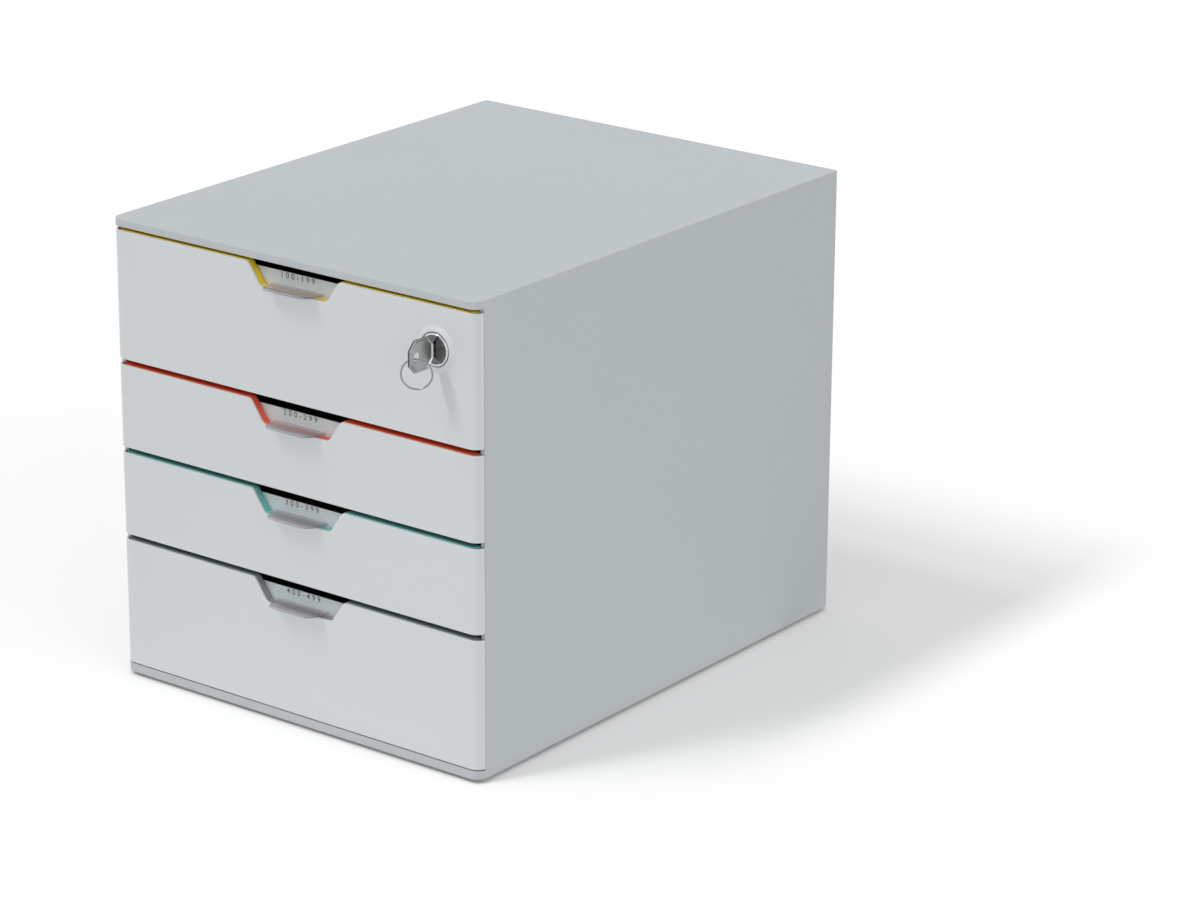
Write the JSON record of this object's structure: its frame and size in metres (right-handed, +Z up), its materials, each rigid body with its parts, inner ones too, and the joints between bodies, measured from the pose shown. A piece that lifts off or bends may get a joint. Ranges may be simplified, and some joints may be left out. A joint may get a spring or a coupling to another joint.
{
  "type": "desktop file drawer",
  "caption": "Free-standing desktop drawer box for office papers, with coloured front frames, clear label grips and a cam lock with key on the top drawer.",
  "frame": {"origin": "on the surface it stands on, below the middle of its overall length with the key in the lock", "axes": "+Z up, +Y to the back of the housing, +X to the right seen from the front"},
  "size_m": [0.28, 0.38, 0.292],
  "materials": {
    "housing": "fine matte texture, cool light grey",
    "front": "fine matte texture, pale grey",
    "tray": "satin moulded plastic, light grey",
    "runner": "satin moulded plastic, dark grey",
    "foot_rubber": "matte black rubber",
    "frame_yellow": "satin yellow plastic",
    "frame_coral": "satin coral red plastic",
    "frame_turquoise": "satin turquoise plastic",
    "frame_grey": "satin mid-grey plastic",
    "clear_grip": "clear polished plastic",
    "label_card": null,
    "lock_chrome": "polished chrome",
    "lock_face": "dark satin steel",
    "lock_steel": "zinc-plated steel",
    "key_steel": "nickel-plated steel, fine brushing",
    "ring_steel": "bright steel wire"
  },
  "bodies": {
    "housing": {"housing_shell": "housing", "back_panel": "housing", "runner_left": "runner", "runner_right": "runner", "rubber_feet": "foot_rubber", "lock_strike": "housing"},
    "drawer_1": {"drawer_1_tray": "tray", "drawer_1_front": "front", "drawer_1_frame": "frame_yellow", "drawer_1_grip": "clear_grip", "drawer_1_label": "label_card", "lock_barrel": "lock_chrome", "lock_nut": "lock_steel"},
    "drawer_2": {"drawer_2_tray": "tray", "drawer_2_front": "front", "drawer_2_frame": "frame_coral", "drawer_2_grip": "clear_grip", "drawer_2_label": "label_card"},
    "drawer_3": {"drawer_3_tray": "tray", "drawer_3_front": "front", "drawer_3_frame": "frame_turquoise", "drawer_3_grip": "clear_grip", "drawer_3_label": "label_card"},
    "drawer_4": {"drawer_4_tray": "tray", "drawer_4_front": "front", "drawer_4_frame": "frame_grey", "drawer_4_grip": "clear_grip", "drawer_4_label": "label_card"},
    "lock_plug": {"lock_plug": "lock_face", "lock_cam": "lock_steel", "cam_screw": "lock_steel"},
    "key": {"key": "key_steel"},
    "key_ring": {"key_ring": "ring_steel"}
  },
  "joints": [
    {"name": "drawer_1_slide", "type": "slide", "parent": "housing", "child": "drawer_1", "axis": [0, -1, 0], "range_m": [0, 0.24]},
    {"name": "drawer_2_slide", "type": "slide", "parent": "housing", "child": "drawer_2", "axis": [0, -1, 0], "range_m": [0, 0.24]},
    {"name": "drawer_3_slide", "type": "slide", "parent": "housing", "child": "drawer_3", "axis": [0, -1, 0], "range_m": [0, 0.24]},
    {"name": "drawer_4_slide", "type": "slide", "parent": "housing", "child": "drawer_4", "axis": [0, -1, 0], "range_m": [0, 0.24]},
    {"name": "lock_turn", "type": "hinge", "parent": "drawer_1", "child": "lock_plug", "pos_m": [0.1098, -0.166, 0.2595], "axis": [0, 1, 0], "range_deg": [0, 90]},
    {"name": "key_withdraw", "type": "slide", "parent": "lock_plug", "child": "key", "axis": [0, -1, 0], "range_m": [0, 0.022]},
    {"name": "key_ring_swing", "type": "hinge", "parent": "key", "child": "key_ring", "pos_m": [0.1098, -0.1833, 0.2579], "axis": [1, 0, 0], "range_deg": [-45, 45]}
  ]
}
